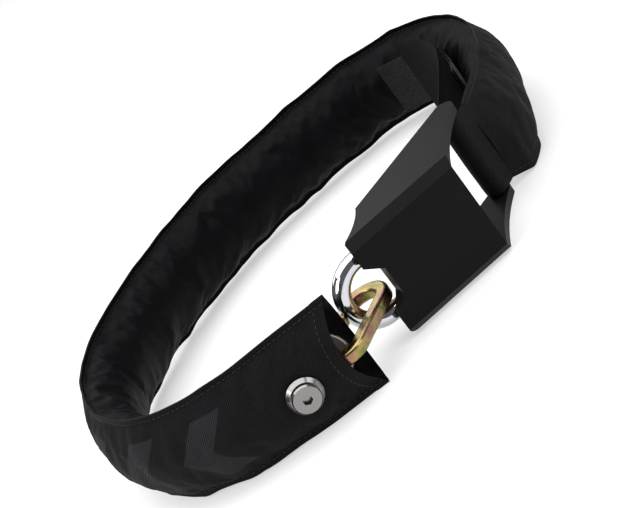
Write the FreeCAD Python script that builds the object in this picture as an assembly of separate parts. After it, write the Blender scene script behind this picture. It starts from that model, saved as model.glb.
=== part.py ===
"""Wearable chain lock: a fabric-sleeved chain closed into a ring by a buckle that is a padlock.

The ring stands on its lower edge. +Z is the ring's axis, +X runs from the open mouth of the
sleeve towards the buckle, and the origin is under the middle of the whole ring. Millimetres.
"""
import FreeCAD, Part
import math
import os

V = FreeCAD.Vector
UP = V(0, 0, 1)

# ---------------------------------------------------------------- driving dimensions
SLEEVE_W = 60.0            # sleeve width, standing upright
MID_Z = SLEEVE_W / 2
BULGE_OUT = 10.0           # how far the woven outer panel stands off the hem line
BULGE_IN = 20.0            # how far the satin lining stands off the hem line
WALL = 1.0                 # fabric thickness, batting included
HEM = 1.2                  # thickness of each panel at its hem
CHAIN_N = -5.0             # chain axis, measured from the hem line, inwards

MOUTH = V(-16.1, -139.2, 0)      # hem line at the open mouth
MOUTH_HEADING = 179.3
BELT_PATH = [              # length and clockwise radius of each run of the hem line; 0 is straight
    (56, 0), (103, 81), (107, 137), (182, 221), (76, 364), (104.7, 71.3),
    (36.2, 101.3), (54.6, 263), (34.5, 94.4), (25, 0)]
MOUTH_FLARE = 42.0         # length over which the mouth opens
MOUTH_BULGE_OUT = 9.0
MOUTH_BULGE_IN = 21.0
MOUTH_SCOOP = 11.0         # how far the outer lip's edge curves back from the mouth
LINING_LIP = 1.2           # how far the inner lip's edge curves out past it
LINK_HOLE_Z = 25.5         # buttonhole in the lining that one side of the end link passes through
LINK_HOLE_W = 10.6
LINK_HOLE_START = 7.5
LINK_HOLE_END = 27.0
FLEX_TARGETS = (175.0, 390.0, 545.0)   # the three places where the belt is let bend
FLEX_GAP = 2.5
SLEEVE_END = 694.0         # full section ends here and the closed end begins
FLAT_AT = 768.0            # the closed end is a flat strap from here to the bar
END_STAGES = [             # past SLEEVE_END: distance, outer and inner bulge, half width, hem, shift, lean
    (0.0, 10.0, 20.0, 30.0, 1.2, 0.0, 0.0),
    (18.0, 10.5, 17.0, 30.0, 1.2, 1.5, 1.5),
    (41.0, 8.0, 10.0, 30.0, 1.6, 5.5, 4.5),
    (61.0, 5.0, 5.5, 30.0, 1.6, 8.0, 4.0)]

LINK_T = 7.5               # square chain section
LINK_EDGE = 2.0            # rounding along the section's edges
LINK_INNER_L = 34.0
LINK_INNER_W = 13.2
FIRST_INNER_L = 41.0        # the longer link that the button passes through
LINK_SLACK = 4.6            # a link's inner length less what it adds to the chain's length
END_INNER_L = 50.5
END_INNER_W = 16.0
END_BAR_FREE = V(5.9, -94.7, 25.4)     # centre of the end link's bar at the shackle
END_BAR_HELD = V(-32.8, -137.8, 25.4)  # centre of its bar inside the mouth
END_ROLL = 1.0
FIRST_ROLL = -68.0
HOOK_GAP = 11.4            # between the centres of two hooked bars
CHAIN_LAST = 669.0         # no link's centre lies past this

BUCKLE_AT = V(7.9, -119.2, 0)          # lower front corner beside the shackle
BUCKLE_TURN = 8.5
BUCKLE_H = 64.0
REAR_NEAR = (21.7, 31.2)               # ends of the buckle's straight rear face, in its own axes
REAR_FAR = (97.5, 64.2)
BEVEL = 5.2                # along the front face's upper and lower edges
FACE_END = 69.0            # the front face ends here; only the two arms run on to the bar
ARM_T = 5.0
LOW_CORNER_R = 6.0         # the two corners beside the shackle
HIGH_CORNER_R = 3.0
PARTING_Y = 16.0           # where the front and rear shells meet
CAVITY_EDGE_Z = 6.0        # the lock body's lower and upper faces stand this far inside
BAR_R = 4.0
BAR_INSET = 1.5            # how far short of the buckle's faces the bar ends
STRAP_T = 2.5
STRAP_W = 53.0
STRAP_GAP = 0.3

SHACKLE_R = 5.0
SHACKLE_SPAN = 36.0
SHACKLE_BOW_X = 1.0
LOCK_Y = 12.0              # shackle, locking bolts and cylinder share this depth
LOCK_Z = BUCKLE_H / 2
HEEL_END = 40.0
TOE_END = 21.4
BOLT_X = 17.6
SHACKLE_LIFT = 12.0
NECK_R = 2.7
RUN = 0.06                 # radial clearance of running fits

CYL_R = 8.0
PLUG_R = 5.6
PLUG_WALL = 0.9
CYL_START = 30.0
CYL_END = 66.0
DISC_T = 1.8
SPACER_T = 0.7
DISC_COUNT = 10

BUTTON_S = 37.6            # along the hem line from the mouth
BUTTON_Z = 26.5
BUTTON_N = 10.15

TAIL_START = 582.0         # free end of the folded strap tail
TAIL_END = 688.0           # where the tail leaves the sleeve and runs straight to the bar
PAD_T = 1.2


# ---------------------------------------------------------------- the hem line
def path_runs():
    """Every run of the hem line as (start s, length, radius, start point, heading)."""
    runs = []
    s = 0.0
    point = MOUTH
    heading = math.radians(MOUTH_HEADING)
    for length, radius in BELT_PATH:
        runs.append((s, length, radius, point, heading))
        point, heading = along(point, heading, radius, length)
        s += length
    return runs


def along(point, heading, radius, distance):
    """The point and heading reached from a point after a distance on a run."""
    if not radius:
        return point + V(math.cos(heading), math.sin(heading), 0) * distance, heading
    turned = heading - distance / radius
    centre = point + outward(heading) * -radius
    return centre + outward(turned) * radius, turned


def outward(heading):
    return V(-math.sin(heading), math.cos(heading), 0)


def forward(heading):
    return V(math.cos(heading), math.sin(heading), 0)


RUNS = path_runs()
PATH_LENGTH = RUNS[-1][0] + RUNS[-1][1]


def at(s):
    """The hem line's point and heading at a distance s from the mouth."""
    for start, length, radius, point, heading in reversed(RUNS):
        if s >= start or start == 0:
            return along(point, heading, radius, s - start)


def place(s, n, z):
    """A point at distance s, n outwards from the hem line and z above the floor."""
    point, heading = at(s)
    return point + outward(heading) * n + UP * z


# ---------------------------------------------------------------- sections and sweeps
def arc3(a, b, c):
    return Part.Arc(a, b, c).toShape()


def line(a, b):
    return Part.LineSegment(a, b).toShape()


def wire_of(points, s):
    """A closed wire of (n, z) points across the belt at s; a mid point given as a pair is an arc."""
    edges = []
    for start, middle, end in points:
        a = place(s, *start)
        c = place(s, *end)
        edges.append(arc3(a, place(s, *middle), c) if middle else line(a, c))
    return Part.Wire(edges)


def panel_outline(bulge, side, half_w=MID_Z, wall=WALL, hem=HEM):
    """One fabric panel across the belt: side is +1 for the outer panel, -1 for the lining."""
    low = MID_Z - half_w
    high = MID_Z + half_w
    return [((side * hem, low), (side * bulge, MID_Z), (side * hem, high)),
            ((side * hem, high), None, (0, high)),
            ((0, high), (side * (bulge - wall), MID_Z), (0, low)),
            ((0, low), None, (side * hem, low))]


def closed_outline(bulge_out, bulge_in, half_w, hem, shift, lean):
    """The closed section of the sleeve's sewn-up end; lean brings its foot out and its top in."""
    low = MID_Z - half_w
    high = MID_Z + half_w
    foot = shift + lean
    top = shift - lean
    return [((foot + hem, low), (shift + bulge_out, MID_Z), (top + hem, high)),
            ((top + hem, high), None, (top - hem, high)),
            ((top - hem, high), (shift - bulge_in, MID_Z), (foot - hem, low)),
            ((foot - hem, low), None, (foot + hem, low))]


def band_outline(offset, thickness, low, high):
    """A band that follows the lining's curve, standing off it by offset."""
    rise = BULGE_IN - HEM
    radius = (MID_Z ** 2 + rise ** 2) / (2 * rise)
    centre = radius - BULGE_IN

    def on(z, extra):
        r = radius + extra
        return (centre - math.sqrt(r * r - (z - MID_Z) ** 2), z)
    near = offset
    far = offset + thickness
    return [(on(low, near), on(MID_Z, near), on(high, near)),
            (on(high, near), None, on(high, far)),
            (on(high, far), on(MID_Z, far), on(low, far)),
            (on(low, far), None, on(low, near))]


def swept(outline, s0, s1):
    """A solid with one section from s0 to s1, one piece per run of the hem line."""
    pieces = []
    for start, length, radius, point, heading in RUNS:
        a = max(s0, start)
        b = min(s1, start + length)
        if b - a < 1e-6:
            continue
        face = Part.Face(wire_of(outline, a))
        if radius:
            centre = point + outward(heading) * -radius
            pieces.append(face.revolve(centre, UP, -math.degrees((b - a) / radius)))
        else:
            pieces.append(face.extrude(forward(heading) * (b - a)))
    return joined(pieces)


def joined(pieces):
    whole = pieces[0]
    for piece in pieces[1:]:
        whole = whole.fuse(piece)
    return solid_of(whole.removeSplitter())


def solid_of(shape):
    if len(shape.Solids) == 1:
        return shape.Solids[0]
    return Part.makeCompound(shape.Solids)


def cylinder(radius, start, end):
    axis = end - start
    return Part.makeCylinder(radius, axis.Length, start, axis)


# ---------------------------------------------------------------- chain
def link_blank(inner_l, inner_w):
    """A link of square section lying in XY, long along X, its middle at the origin."""
    def stadium(width, length):
        h = (length - width) / 2
        r = width / 2
        edges = [line(V(-h, r, 0), V(h, r, 0)), arc3(V(h, r, 0), V(h + r, 0, 0), V(h, -r, 0)),
                 line(V(h, -r, 0), V(-h, -r, 0)), arc3(V(-h, -r, 0), V(-h - r, 0, 0), V(-h, r, 0))]
        return Part.Face(Part.Wire(edges)).extrude(UP * LINK_T)
    outer = stadium(inner_w + 2 * LINK_T, inner_l + 2 * LINK_T)
    ring = outer.cut(stadium(inner_w, inner_l))
    ring.translate(UP * (-LINK_T / 2))
    return solid_of(ring.makeFillet(LINK_EDGE, ring.Edges))


def laid(blank, middle, direction, roll):
    """A copy of a blank with its length along direction, rolled about it by roll degrees."""
    flat = math.degrees(math.atan2(direction.y, direction.x))
    climb = math.degrees(math.asin(direction.z / direction.Length))
    turn = FreeCAD.Rotation(UP, flat).multiply(
        FreeCAD.Rotation(V(0, 1, 0), -climb)).multiply(FreeCAD.Rotation(V(1, 0, 0), roll))
    copy = blank.copy()
    copy.Placement = FreeCAD.Placement(middle, turn)
    return copy


def chain_stations():
    """Middles of the links that lie on the chain axis, each a pitch from the last, with s."""
    pitch = LINK_INNER_L - LINK_SLACK
    held = (END_BAR_FREE - END_BAR_HELD).normalize()
    near_bar = END_BAR_HELD + held * HOOK_GAP
    s = next_station(near_bar, 20.0, FIRST_INNER_L + LINK_T)
    far_bar = place(s, CHAIN_N, MID_Z - 2.0)
    first = (near_bar + far_bar) * 0.5
    stations = [(None, first, far_bar - near_bar)]
    s = next_station(first, 40.0, pitch + (FIRST_INNER_L - LINK_INNER_L) / 2)
    while s < CHAIN_LAST:
        stations.append((s, place(s, CHAIN_N, MID_Z), forward(at(s)[1])))
        s = next_station(stations[-1][1], s, pitch)
    return stations


def next_station(origin, s, distance):
    """The first s, past the given one, whose chain-axis point is a distance from origin."""
    while (place(s, CHAIN_N, MID_Z) - origin).Length < distance:
        s += 0.02
    return s


def flex_points(stations):
    """The belt bends where two links hook: the joints nearest the wanted places."""
    joints = [(a[0] + b[0]) / 2 for a, b in zip(stations[1:], stations[2:])]
    return [min(joints, key=lambda s: abs(s - target)) for target in FLEX_TARGETS]


def chain_groups(stations, flexes):
    """The links of the sleeve, in one group for each span of the belt."""
    blank = link_blank(LINK_INNER_L, LINK_INNER_W)
    first = link_blank(FIRST_INNER_L, LINK_INNER_W)
    groups = [[], [], [], []]
    for index, (s, middle, direction) in enumerate(stations):
        roll = 45.0 if index % 2 else -45.0
        if index == 0:
            roll = FIRST_ROLL
        span = sum(1 for f in flexes if s is not None and s > f)
        groups[span].append(laid(blank if index else first, middle, direction, roll))
    return [Part.makeCompound(group) for group in groups]


def end_link():
    blank = link_blank(END_INNER_L, END_INNER_W)
    return laid(blank, (END_BAR_FREE + END_BAR_HELD) * 0.5, END_BAR_FREE - END_BAR_HELD, END_ROLL)


# ---------------------------------------------------------------- sleeve
def lip_cylinder(reach, middle_s):
    """A wide cylinder standing across the belt, whose curve reaches from hem to hem by reach."""
    radius = (MID_Z ** 2 + reach ** 2) / (2 * reach)
    point, heading = at(0)
    middle = point + forward(heading) * (middle_s - math.copysign(radius, middle_s)) + UP * MID_Z
    side = outward(heading)
    return cylinder(radius, middle - side * 80, middle + side * 80)


def link_hole():
    """The round-ended buttonhole in the lining that one side of the end link passes through."""
    point, heading = at(0)
    side = outward(heading)
    half = LINK_HOLE_W / 2
    near, far = (point + forward(heading) * s + UP * LINK_HOLE_Z
                 for s in (LINK_HOLE_START + half, LINK_HOLE_END - half))
    corners = [near + UP * half, near - UP * half, far - UP * half, far + UP * half]
    hole = Part.Face(Part.makePolygon(corners + corners[:1])).extrude(side * -60)
    for end in (near, far):
        hole = hole.fuse(cylinder(half, end, end - side * 60))
    return hole


def span_panel(side, s0, s1):
    """One panel of one span; the front span's panel opens into the mouth."""
    bulge = BULGE_OUT if side > 0 else BULGE_IN
    body = swept(panel_outline(bulge, side), max(s0, MOUTH_FLARE), s1)
    if s0 > 0:
        return body
    mouth_s = 0.0 if side > 0 else -LINING_LIP
    mouth_bulge = MOUTH_BULGE_OUT if side > 0 else MOUTH_BULGE_IN
    wires = [wire_of(panel_outline(mouth_bulge, side), mouth_s),
             wire_of(panel_outline(bulge, side), MOUTH_FLARE)]
    flare = Part.makeLoft(wires, True, True)
    if side > 0:
        flare = flare.cut(lip_cylinder(MOUTH_SCOOP, MOUTH_SCOOP))
    else:
        flare = flare.common(lip_cylinder(LINING_LIP, -LINING_LIP)).cut(link_hole())
    return joined([solid_of(flare), body])


def spans(flexes):
    half = FLEX_GAP / 2
    edges = [0.0] + [f for f in flexes] + [SLEEVE_END]
    result = []
    for index in range(4):
        s0 = edges[index] + (half if index else 0.0)
        s1 = edges[index + 1] - (half if index < 3 else 0.0)
        result.append((s0, s1))
    return result


def sleeve_end():
    """The sewn-up end: the section closes and flattens into the strap that takes the bar."""
    out = BAR_R + STRAP_GAP + STRAP_T / 2
    half_t = STRAP_T / 2
    stages = [(SLEEVE_END + stage[0],) + stage[1:] for stage in END_STAGES]
    stages.append((FLAT_AT, half_t + 0.05, half_t + 0.05, STRAP_W / 2, half_t, out, 0.0))
    wires = [wire_of(closed_outline(*stage[1:]), stage[0]) for stage in stages]
    return solid_of(Part.makeLoft(wires, True, True))


def bar_centre():
    return place(PATH_LENGTH, 0, 0)


def strap():
    """One strip: the belt's strap, its turn round the bar, and the tail folded back inside."""
    out = BAR_R + STRAP_GAP + STRAP_T / 2
    low = (BUCKLE_H - STRAP_W) / 2
    centre = bar_centre() + UP * low
    heading = at(PATH_LENGTH)[1]
    side = outward(heading)
    inner = -(BULGE_IN + 2 * PAD_T + 0.4)
    root = place(TAIL_END, inner - STRAP_T / 2, low)
    to_root = root - centre
    swing = math.degrees(math.acos(out / to_root.Length))
    bearing = math.degrees(math.atan2(to_root.y, to_root.x)) + swing
    touch = centre + V(math.cos(math.radians(bearing)), math.sin(math.radians(bearing)), 0) * out
    wrap = (math.degrees(heading) + 90 - bearing) % 360

    lead = strip_outline(out - STRAP_T / 2, out + STRAP_T / 2, low, low + STRAP_W)
    first = swept(lead, FLAT_AT, PATH_LENGTH)
    turn = across(centre + side * out, side).revolve(centre, UP, -wrap)
    back = slab(touch, root)
    knuckle = Part.makeCylinder(STRAP_T / 2, STRAP_W, root)
    rest = swept(strip_outline(inner - STRAP_T, inner, low, low + STRAP_W), TAIL_START, TAIL_END)
    return joined([first, turn, back, knuckle, rest])


def strip_outline(n0, n1, low, high):
    return [((n0, low), None, (n1, low)), ((n1, low), None, (n1, high)),
            ((n1, high), None, (n0, high)), ((n0, high), None, (n0, low))]


def across(middle, direction):
    """The strap's cut end: a face on middle, its thickness along direction."""
    half = direction * (STRAP_T / 2)
    corners = [middle + half, middle - half, middle - half + UP * STRAP_W, middle + half + UP * STRAP_W]
    return Part.Face(Part.makePolygon(corners + corners[:1]))


def slab(start, end):
    """A straight run of strap between two points on its middle."""
    run = end - start
    return across(start, V(-run.y, run.x, 0).normalize()).extrude(run)


def hook_pad():
    inner = -(BULGE_IN + 2 * PAD_T + 0.4)
    outline = strip_outline(inner, inner + PAD_T, MID_Z - 16, MID_Z + 16)
    return swept(outline, TAIL_START + 4, TAIL_END - 6)


def loop_pad():
    return swept(band_outline(0.1, PAD_T, MID_Z - 18, MID_Z + 18), TAIL_START - 30, TAIL_END - 4)


# ---------------------------------------------------------------- button through the sleeve
def button():
    """The bolt that pins the sleeve to the chain: screw, dished washer, nut and back washer."""
    point, heading = at(BUTTON_S)
    side = outward(heading)
    base = point + UP * BUTTON_Z
    inner_n = -(BULGE_IN + 2.4)

    def disc(radius, n0, n1):
        return cylinder(radius, base + side * n0, base + side * n1)
    shank = disc(2.2, inner_n - 1.0, BUTTON_N + 2.5)
    dish = Part.makeCone(10.2, 8.4, 2.2, base + side * BUTTON_N, side)
    dish = dish.cut(disc(7.0, BUTTON_N + 1.2, BUTTON_N + 3)).cut(disc(2.3, BUTTON_N - 1, BUTTON_N + 3))
    head = Part.makeCone(8.0, 7.4, 1.0, base + side * (BUTTON_N + 4.2), side).fuse(
        disc(8.0, BUTTON_N + 2.3, BUTTON_N + 4.2)).fuse(disc(6.6, BUTTON_N + 1.25, BUTTON_N + 2.4))
    socket = hexagon(2.5, base + side * (BUTTON_N + 2.6), side, 3.0)
    screw = solid_of(head.fuse(shank).removeSplitter()).cut(socket)
    nut = disc(6.0, inner_n - 3.0, inner_n - 1.3).fuse(disc(3.4, inner_n - 1.3, inner_n + 5.5))
    nut = nut.cut(disc(2.25, inner_n - 1.2, inner_n + 6))
    back = disc(8.0, inner_n - 1.2, inner_n - 0.2).cut(disc(3.45, inner_n - 2, inner_n + 1))
    hole = disc(3.6, inner_n - 2, BUTTON_N + 1)
    return {"button_screw": solid_of(screw), "button_washer": solid_of(dish),
            "button_nut": solid_of(nut.removeSplitter()), "button_back_washer": solid_of(back)}, hole


def hexagon(across_flats_half, base, axis, depth):
    u = UP
    w = axis.cross(u)
    r = across_flats_half / math.cos(math.pi / 6)
    corners = [base + u * (r * math.cos(a)) + w * (r * math.sin(a))
               for a in (math.radians(60 * k) for k in range(6))]
    return Part.Face(Part.makePolygon(corners + corners[:1])).extrude(axis * depth)


# ---------------------------------------------------------------- buckle, in its own axes
BUCKLE_FRAME = FreeCAD.Placement(BUCKLE_AT, FreeCAD.Rotation(UP, BUCKLE_TURN))


def to_world(shape):
    shape = shape.copy()
    shape.Placement = BUCKLE_FRAME.multiply(shape.Placement)
    return shape


def prism(corners, z0, z1):
    points = [V(x, y, z0) for x, y in corners]
    return Part.Face(Part.makePolygon(points + points[:1])).extrude(UP * (z1 - z0))


def rod(radius, x0, x1, y=LOCK_Y, z=LOCK_Z):
    return Part.makeCylinder(radius, x1 - x0, V(x0, y, z), V(1, 0, 0))


def block(x0, x1, y0, y1, z0, z1):
    return Part.makeBox(x1 - x0, y1 - y0, z1 - z0, V(x0, y0, z0))


def housing_block():
    """The buckle's whole outside: long front face, hollowed ends, and arms reaching to the bar."""
    def p(x, y):
        return V(x, y, 0)
    edges = [line(p(0, 0), p(0.8, 4.8)), arc3(p(0.8, 4.8), p(13.2, 16.6), p(*REAR_NEAR)),
             line(p(*REAR_NEAR), p(*REAR_FAR)), arc3(p(*REAR_FAR), p(103.0, 61.0), p(102.6, 52.0)),
             arc3(p(102.6, 52.0), p(84.8, 29.1), p(FACE_END, 0)), line(p(FACE_END, 0), p(0, 0))]
    body = Part.Face(Part.Wire(edges)).extrude(UP * BUCKLE_H)
    for z, way, radius in ((0, 1, LOW_CORNER_R), (BUCKLE_H, -1, HIGH_CORNER_R)):
        body = body.cut(edge_bevel(z, way)).cut(end_corner(radius, z, way))
    body = body.cut(block(FACE_END, 2 * FACE_END, -FACE_END, 2 * FACE_END, ARM_T, BUCKLE_H - ARM_T))
    return solid_of(body.cut(shackle_notch()))


def edge_bevel(z, way):
    """The cutter for the sloping band along the front face's lower or upper edge."""
    wedge = [V(-5, -1, z - way), V(-5, BEVEL, z - way), V(-5, BEVEL, z), V(-5, 0, z + way * BEVEL),
             V(-5, -1, z + way * BEVEL)]
    return Part.Face(Part.makePolygon(wedge + wedge[:1])).extrude(V(FACE_END + 20, 0, 0))


def end_corner(radius, z, way):
    """The cutter that rounds the corner beside the shackle at the lower or upper face."""
    inner = z + way * radius
    low, high = sorted((z - way, inner))
    corner = block(-5, radius, -20, 60, low, high)
    return corner.cut(Part.makeCylinder(radius, 100, V(radius, -30, inner), V(0, 1, 0)))


def shackle_notch():
    """The hollow between the shackle's legs, where the end link sits."""
    mouth = 15.0
    floor = 9.0
    depth = 9.5
    corners = [V(-6, -5, LOCK_Z - mouth - 6), V(depth, -5, LOCK_Z - floor),
               V(depth, -5, LOCK_Z + floor), V(-6, -5, LOCK_Z + mouth + 6)]
    return Part.Face(Part.makePolygon(corners + corners[:1])).extrude(V(0, 60, 0))


def leg_z(side):
    return LOCK_Z + side * SHACKLE_SPAN / 2


LOCK_OUTLINE = [(6.0, 3.2), (CYL_END, 3.2), (CYL_END, 41.5), (25, 27), (7.4, 8.6)]


def lock_block():
    return prism(LOCK_OUTLINE, CAVITY_EDGE_Z, BUCKLE_H - CAVITY_EDGE_Z).cut(shackle_notch_wall())


def shackle_notch_wall():
    """The same hollow grown by the shell's wall, so the lock body stays behind the plastic."""
    corners = [V(-6, -5, LOCK_Z - 20), V(10.6, -5, LOCK_Z - 9.6),
               V(10.6, -5, LOCK_Z + 9.6), V(-6, -5, LOCK_Z + 20)]
    return Part.Face(Part.makePolygon(corners + corners[:1])).extrude(V(0, 60, 0))


SCREW_AT = [(38.0, 11.0), (38.0, BUCKLE_H - 11.0), (62.0, 11.0), (62.0, BUCKLE_H - 11.0)]
SCREW_SINK = 6.0           # the heads sit this far below the rear face


def screw_parts():
    """Four screws through the rear shell into the lock body, and the holes they need."""
    screws = []
    holes = []
    slope = (REAR_FAR[1] - REAR_NEAR[1]) / (REAR_FAR[0] - REAR_NEAR[0])
    for x, z in SCREW_AT:
        seat = REAR_NEAR[1] + (x - REAR_NEAR[0]) * slope - SCREW_SINK
        shank = Part.makeCylinder(1.5, 9.0, V(x, seat - 8.5, z), V(0, 1, 0))
        head = Part.makeCylinder(2.75, 2.2, V(x, seat, z), V(0, 1, 0))
        drive = Part.makeCylinder(1.25, 1.3, V(x, seat + 1.1, z), V(0, 1, 0))
        screws.append(solid_of(shank.fuse(head).removeSplitter().cut(drive)))
        holes.append(Part.makeCylinder(1.55, 9.2, V(x, seat - 8.7, z), V(0, 1, 0)))
        holes.append(Part.makeCylinder(3.0, 30, V(x, seat, z), V(0, 1, 0)))
    return Part.makeCompound(screws), holes


def shackle():
    """Round bar bent to a U: long heel leg above with a long neck, short notched toe below."""
    half = SHACKLE_SPAN / 2
    bow = Part.makeTorus(half, SHACKLE_R, V(SHACKLE_BOW_X, LOCK_Y, LOCK_Z), V(0, 1, 0))
    bow = bow.common(block(-40, SHACKLE_BOW_X, -20, 40, -10, 80))
    heel = rod(SHACKLE_R, SHACKLE_BOW_X, HEEL_END, z=leg_z(1))
    toe = rod(SHACKLE_R, SHACKLE_BOW_X, TOE_END, z=leg_z(-1))
    neck_start = BOLT_X - 2.7
    heel = heel.cut(groove(neck_start, BOLT_X + 2.7 + SHACKLE_LIFT + 0.6, leg_z(1)))
    toe = toe.cut(groove(neck_start, BOLT_X + 2.4, leg_z(-1)))
    heel = heel.cut(tip_bevel(HEEL_END, leg_z(1)))
    toe = toe.cut(tip_bevel(TOE_END, leg_z(-1)))
    return joined([bow, heel, toe])


def groove(x0, x1, z):
    return rod(SHACKLE_R + 1, x0, x1, z=z).cut(rod(NECK_R, x0 - 1, x1 + 1, z=z))


def tip_bevel(x, z):
    cone = Part.makeCone(SHACKLE_R + 0.2, SHACKLE_R - 0.8, 1.0, V(x - 1.0, LOCK_Y, z), V(1, 0, 0))
    return rod(SHACKLE_R + 1, x - 1.0, x + 1, z=z).cut(cone)


def bolt(side):
    """A locking bolt: broad tail on the cam, slim nose towards the shackle leg."""
    def post(radius, a, b):
        return Part.makeCylinder(radius, abs(b - a), V(BOLT_X, LOCK_Y, LOCK_Z + side * a), UP * side)
    return solid_of(post(3.0, 2.9, 5.4).fuse(post(2.0, 5.4, 12.6)).removeSplitter())


def bolt_spring(side):
    """The small coil round the nose that draws the bolt back."""
    turns = 2.5
    wire_r = 0.3
    height = 10.4 - 5.4 - 2 * wire_r - 0.2
    helix = Part.makeHelix(height / turns, height, 2.45)
    profile = Part.Wire(Part.makeCircle(wire_r, V(2.45, 0, 0), V(0, 1, 0)))
    coil = Part.Wire(helix.Edges).makePipeShell([profile], True, True)
    coil = solid_of(coil)
    if side < 0:
        coil.rotate(V(0, 0, 0), V(1, 0, 0), 180)
    coil.translate(V(BOLT_X, LOCK_Y, LOCK_Z + side * (5.4 + wire_r + 0.1)))
    return coil


def cam_spindle():
    """Oval cam, narrow way up at rest, on the spindle that the cylinder turns."""
    ellipse = Part.Ellipse(V(BOLT_X - 2, LOCK_Y, LOCK_Z), 4.8, 2.4)
    ellipse.Axis = V(1, 0, 0)
    ellipse.XAxis = V(0, 1, 0)
    cam = Part.Face(Part.Wire([ellipse.toShape()])).extrude(V(4, 0, 0))
    shaft = rod(2.3, BOLT_X + 2, CYL_START - 1.5)
    tongue = block(CYL_START - 1.5, CYL_START + 1.0, LOCK_Y - 1.2, LOCK_Y + 1.2, LOCK_Z - 4, LOCK_Z + 4)
    return joined([cam, shaft, tongue])


def cylinder_parts():
    """Disc cylinder: fixed housing, turning plug, its discs and spacers, side bar and clip."""
    bore = PLUG_R + RUN
    shell = rod(CYL_R, CYL_START, CYL_END).cut(rod(bore, CYL_START - 1, CYL_END + 1))
    inside = PLUG_R - PLUG_WALL
    plug = rod(PLUG_R, CYL_START - 0.9, CYL_END + 1.0)
    plug = plug.cut(rod(inside, CYL_START + 2.6, CYL_END - 2.0))
    slot = block(CYL_START - 1.6, CYL_START + 1.1, LOCK_Y - 1.25, LOCK_Y + 1.25, LOCK_Z - 4.1, LOCK_Z + 4.1)
    keyway = block(CYL_END - 3, CYL_END + 2, LOCK_Y - 1.1, LOCK_Y + 1.1, LOCK_Z - 3.6, LOCK_Z + 3.6)
    clip_x = CYL_START - 0.55
    plug = plug.cut(slot).cut(keyway).cut(ring(PLUG_R + 1, PLUG_R - 0.7, clip_x - 0.3, clip_x + 0.3))
    bar_z = LOCK_Z + inside + 0.15
    plug = plug.cut(rod(0.8, CYL_START + 3.0, CYL_END - 2.5, z=bar_z))
    side_bar = rod(0.72, CYL_START + 3.2, CYL_END - 2.7, z=bar_z)
    discs = []
    spacers = []
    x = CYL_START + 3.0
    step = DISC_T + SPACER_T + 0.1
    for index in range(DISC_COUNT):
        disc = rod(inside - 0.05, x, x + DISC_T).cut(rod(0.85, x - 1, x + 3, z=bar_z))
        disc = disc.cut(block(x - 1, x + 3, LOCK_Y - 1.2, LOCK_Y + 1.2, LOCK_Z - 3.2, LOCK_Z + 2.2))
        discs.append(solid_of(disc))
        wide = rod(inside - 0.05, x + DISC_T + 0.05, x + DISC_T + 0.05 + SPACER_T)
        wide = wide.cut(rod(3.4, x - 1, x + 4)).cut(rod(0.9, x - 1, x + 4, z=bar_z))
        spacers.append(solid_of(wide))
        x += step
    clip = ring(PLUG_R + 1.6, PLUG_R - 0.64, clip_x - 0.25, clip_x + 0.25)
    clip = clip.cut(block(clip_x - 1, clip_x + 1, LOCK_Y - 2.2, LOCK_Y + 2.2, LOCK_Z - 9, LOCK_Z))
    return {"cylinder_housing": solid_of(shell), "key_plug": solid_of(plug), "side_bar": side_bar,
            "key_discs": Part.makeCompound(discs), "disc_spacers": Part.makeCompound(spacers),
            "plug_clip": solid_of(clip)}


def ring(outer, inner, x0, x1):
    return rod(outer, x0, x1).cut(rod(inner, x0 - 1, x1 + 1))


def lock_body():
    """Steel block bored for the shackle's legs, the bolts, the cam and the cylinder."""
    body = lock_block()
    legs = SHACKLE_R + RUN
    body = body.cut(rod(legs, -10, HEEL_END + 0.5, z=leg_z(1)))
    body = body.cut(rod(legs, -10, TOE_END + 0.5, z=leg_z(-1)))
    body = body.cut(rod(5.0, BOLT_X - 2.2, BOLT_X + 2.2))
    body = body.cut(rod(2.36, BOLT_X + 2, CYL_START - 1.2))
    body = body.cut(rod(CYL_R + 0.02, CYL_START - 1.6, CYL_END + 10))
    for side in (1, -1):
        def post(radius, a, b):
            return Part.makeCylinder(radius, b - a, V(BOLT_X, LOCK_Y, LOCK_Z + side * a), UP * side)
        body = body.cut(post(3.06, 0, 10.4)).cut(post(2.06, 10.0, 14.0))
    return body


def buckle_parts():
    parts = cylinder_parts()
    housing = housing_block()
    screws, holes = screw_parts()
    bar_foot = BUCKLE_FRAME.inverse().multVec(bar_centre()) + UP * BAR_INSET
    bar_length = BUCKLE_H - 2 * BAR_INSET
    body = lock_body()
    shell = housing.cut(lock_block())
    for side in (1, -1):
        shell = shell.cut(rod(SHACKLE_R + 0.4, -10, 16.5, z=leg_z(side)))
    shell = shell.cut(rod(CYL_R + 0.3, CYL_END - 6, CYL_END + 20))
    shell = shell.cut(Part.makeCylinder(BAR_R + 0.02, bar_length, bar_foot))
    for hole in holes:
        shell = shell.cut(hole)
        body = body.cut(hole)
    parts["buckle_front_shell"] = solid_of(shell.common(block(-20, 130, -20, PARTING_Y, -5, 80)))
    parts["buckle_rear_shell"] = solid_of(shell.common(block(-20, 130, PARTING_Y, 100, -5, 80)))
    parts["lock_body"] = solid_of(body)
    parts["strap_bar"] = Part.makeCylinder(BAR_R, bar_length, bar_foot)
    parts["shell_screws"] = screws
    parts["shackle"] = shackle()
    parts["heel_bolt"] = bolt(1)
    parts["toe_bolt"] = bolt(-1)
    parts["heel_bolt_spring"] = bolt_spring(1)
    parts["toe_bolt_spring"] = bolt_spring(-1)
    parts["cam_spindle"] = cam_spindle()
    return {name: to_world(shape) for name, shape in parts.items()}


# ---------------------------------------------------------------- the whole lock
SPAN_NAMES = ("front", "back_left", "back_right", "right")


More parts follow.
